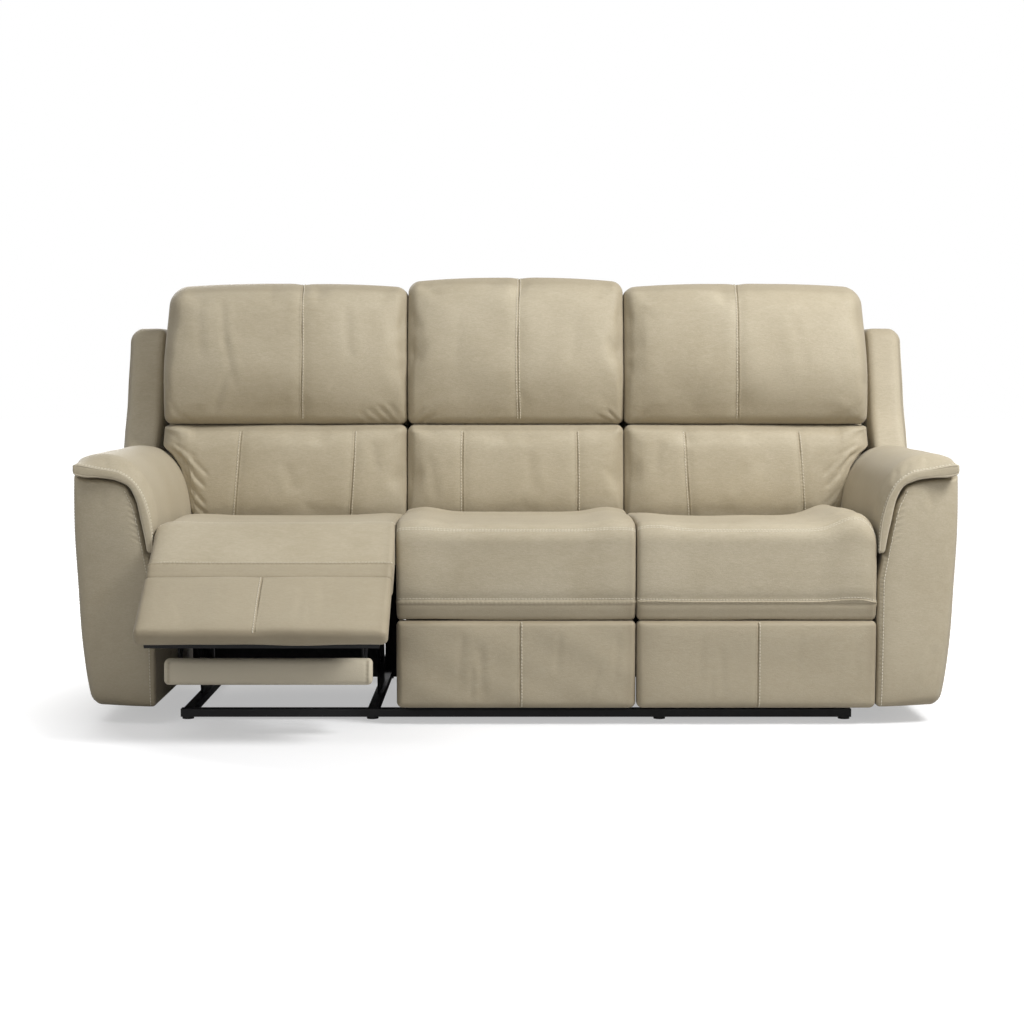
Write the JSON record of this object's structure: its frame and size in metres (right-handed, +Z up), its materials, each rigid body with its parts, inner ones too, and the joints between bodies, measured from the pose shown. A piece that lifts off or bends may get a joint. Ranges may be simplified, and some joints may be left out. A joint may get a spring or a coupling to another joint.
{
  "type": "power reclining sofa",
  "caption": "Padded leather sofa with reclining end seats, swing-out footrests, tilting headrests, a fixed middle seat and rounded arms on a low steel base.",
  "frame": {"origin": "centre of the footprint on the floor, with the left footrest part open as stored", "axes": "+X to the viewer's right seen from the front, along the seats; +Y from front to back; +Z up"},
  "size_m": [2.222, 1.3133, 1.1374],
  "materials": {
    "leather": "matte",
    "black_steel": "satin",
    "black_cloth": "matte",
    "black_plastic": "matte"
  },
  "bodies": {
    "sofa_body": {"base_front_rail": "black_steel", "base_rear_rail": "black_steel", "base_side_rail_left_outer": "black_steel", "base_side_rail_left_inner": "black_steel", "base_side_rail_right_outer": "black_steel", "base_side_rail_right_inner": "black_steel", "left_arm_panel": "leather", "left_arm_pad": "leather", "left_side_wing": "leather", "left_switch_bezel": "black_plastic", "right_arm_panel": "leather", "right_arm_pad": "leather", "right_side_wing": "leather", "right_switch_bezel": "black_plastic", "middle_seat_box": "black_cloth", "middle_seat_cushion": "leather", "middle_front_panel": "leather", "middle_back_shell": "leather", "middle_lumbar_cushion": "leather", "middle_head_cushion": "leather"},
    "left_carriage": {"left_seat_frame": "black_cloth", "left_mechanism_plate_outer": "black_steel", "left_mechanism_plate_inner": "black_steel", "left_seat_cushion": "leather", "left_recline_motor": "black_steel"},
    "left_footrest": {"left_front_roll": "leather", "left_footrest_board": "black_steel", "left_footrest_pad": "leather"},
    "left_rear_links": {"left_rear_link_outer": "black_steel", "left_rear_link_inner": "black_steel", "left_cross_tube": "black_steel"},
    "left_front_links": {"left_front_link_outer": "black_steel", "left_front_link_inner": "black_steel", "left_flipper_pad": "leather"},
    "left_drive": {"left_drive_block": "black_plastic"},
    "left_back": {"left_back_shell": "leather", "left_lumbar_cushion": "leather"},
    "left_headrest": {"left_head_cushion": "leather"},
    "left_recline_switch": {"left_recline_rocker": "black_plastic"},
    "left_headrest_switch": {"left_headrest_rocker": "black_plastic"},
    "right_carriage": {"right_seat_frame": "black_cloth", "right_mechanism_plate_outer": "black_steel", "right_mechanism_plate_inner": "black_steel", "right_seat_cushion": "leather", "right_recline_motor": "black_steel"},
    "right_footrest": {"right_front_roll": "leather", "right_footrest_board": "black_steel", "right_footrest_pad": "leather"},
    "right_rear_links": {"right_rear_link_outer": "black_steel", "right_rear_link_inner": "black_steel", "right_cross_tube": "black_steel"},
    "right_front_links": {"right_front_link_outer": "black_steel", "right_front_link_inner": "black_steel", "right_flipper_pad": "leather"},
    "right_drive": {"right_drive_block": "black_plastic"},
    "right_back": {"right_back_shell": "leather", "right_lumbar_cushion": "leather"},
    "right_headrest": {"right_head_cushion": "leather"},
    "right_recline_switch": {"right_recline_rocker": "black_plastic"},
    "right_headrest_switch": {"right_headrest_rocker": "black_plastic"}
  },
  "joints": [
    {"name": "left_carriage_slide", "type": "slide", "parent": "sofa_body", "child": "left_carriage", "axis": [0, -1, 0], "range_m": [0, 0.09]},
    {"name": "left_footrest_hinge", "type": "hinge", "parent": "left_carriage", "child": "left_footrest", "pos_m": [-0.6, -0.2914, 0.458], "axis": [-1, 0, 0], "range_deg": [-58, 27]},
    {"name": "left_rear_link_hinge", "type": "hinge", "parent": "left_carriage", "child": "left_rear_links", "pos_m": [-0.6, -0.2034, 0.333], "axis": [-1, 0, 0], "range_deg": [-59, 28]},
    {"name": "left_front_link_hinge", "type": "hinge", "parent": "left_rear_links", "child": "left_front_links", "pos_m": [-0.6, -0.39517, 0.16246], "axis": [1, 0, 0], "range_deg": [-59, 28]},
    {"name": "left_drive_slide", "type": "slide", "parent": "left_carriage", "child": "left_drive", "axis": [0, -1, 0], "range_m": [-0.05577, 0.02623]},
    {"name": "left_recline_hinge", "type": "hinge", "parent": "left_carriage", "child": "left_back", "pos_m": [-0.6, 0.3266, 0.42], "axis": [-1, 0, 0], "range_deg": [0, 35]},
    {"name": "left_headrest_hinge", "type": "hinge", "parent": "left_back", "child": "left_headrest", "pos_m": [-0.6, 0.2966, 0.7335], "axis": [1, 0, 0], "range_deg": [0, 28]},
    {"name": "left_recline_switch_hinge", "type": "hinge", "parent": "sofa_body", "child": "left_recline_switch", "pos_m": [-1.1045, -0.0754, 0.54], "axis": [0, 0, 1], "range_deg": [-4, 4], "stiffness_Nm_per_rad": 0.5},
    {"name": "left_headrest_switch_hinge", "type": "hinge", "parent": "sofa_body", "child": "left_headrest_switch", "pos_m": [-1.1045, -0.0314, 0.54], "axis": [0, 0, 1], "range_deg": [-4, 4], "stiffness_Nm_per_rad": 0.5},
    {"name": "right_carriage_slide", "type": "slide", "parent": "sofa_body", "child": "right_carriage", "axis": [0, -1, 0], "range_m": [0, 0.09]},
    {"name": "right_footrest_hinge", "type": "hinge", "parent": "right_carriage", "child": "right_footrest", "pos_m": [0.6, -0.2914, 0.458], "axis": [-1, 0, 0], "range_deg": [0, 85]},
    {"name": "right_rear_link_hinge", "type": "hinge", "parent": "right_carriage", "child": "right_rear_links", "pos_m": [0.6, -0.2034, 0.333], "axis": [-1, 0, 0], "range_deg": [-1, 86]},
    {"name": "right_front_link_hinge", "type": "hinge", "parent": "right_rear_links", "child": "right_front_links", "pos_m": [0.6, -0.1604, 0.08], "axis": [1, 0, 0], "range_deg": [-1, 86]},
    {"name": "right_drive_slide", "type": "slide", "parent": "right_carriage", "child": "right_drive", "axis": [0, -1, 0], "range_m": [-0.0005, 0.0815]},
    {"name": "right_recline_hinge", "type": "hinge", "parent": "right_carriage", "child": "right_back", "pos_m": [0.6, 0.3266, 0.42], "axis": [-1, 0, 0], "range_deg": [0, 35]},
    {"name": "right_headrest_hinge", "type": "hinge", "parent": "right_back", "child": "right_headrest", "pos_m": [0.6, 0.2966, 0.7335], "axis": [1, 0, 0], "range_deg": [0, 28]},
    {"name": "right_recline_switch_hinge", "type": "hinge", "parent": "sofa_body", "child": "right_recline_switch", "pos_m": [1.1045, -0.0754, 0.54], "axis": [0, 0, 1], "range_deg": [-4, 4], "stiffness_Nm_per_rad": 0.5},
    {"name": "right_headrest_switch_hinge", "type": "hinge", "parent": "sofa_body", "child": "right_headrest_switch", "pos_m": [1.1045, -0.0314, 0.54], "axis": [0, 0, 1], "range_deg": [-4, 4], "stiffness_Nm_per_rad": 0.5}
  ],
  "couplings": [
    {"joint": "left_rear_link_hinge", "follows": "left_footrest_hinge", "ratio": 1},
    {"joint": "left_front_link_hinge", "follows": "left_footrest_hinge", "ratio": 1},
    {"joint": "left_drive_slide", "follows": "left_footrest_hinge", "m_per_rad": 0.0546},
    {"joint": "left_carriage_slide", "follows": "left_recline_hinge", "m_per_rad": 0.147},
    {"joint": "right_rear_link_hinge", "follows": "right_footrest_hinge", "ratio": 1},
    {"joint": "right_front_link_hinge", "follows": "right_footrest_hinge", "ratio": 1},
    {"joint": "right_drive_slide", "follows": "right_footrest_hinge", "m_per_rad": 0.0546},
    {"joint": "right_carriage_slide", "follows": "right_recline_hinge", "m_per_rad": 0.147}
  ]
}
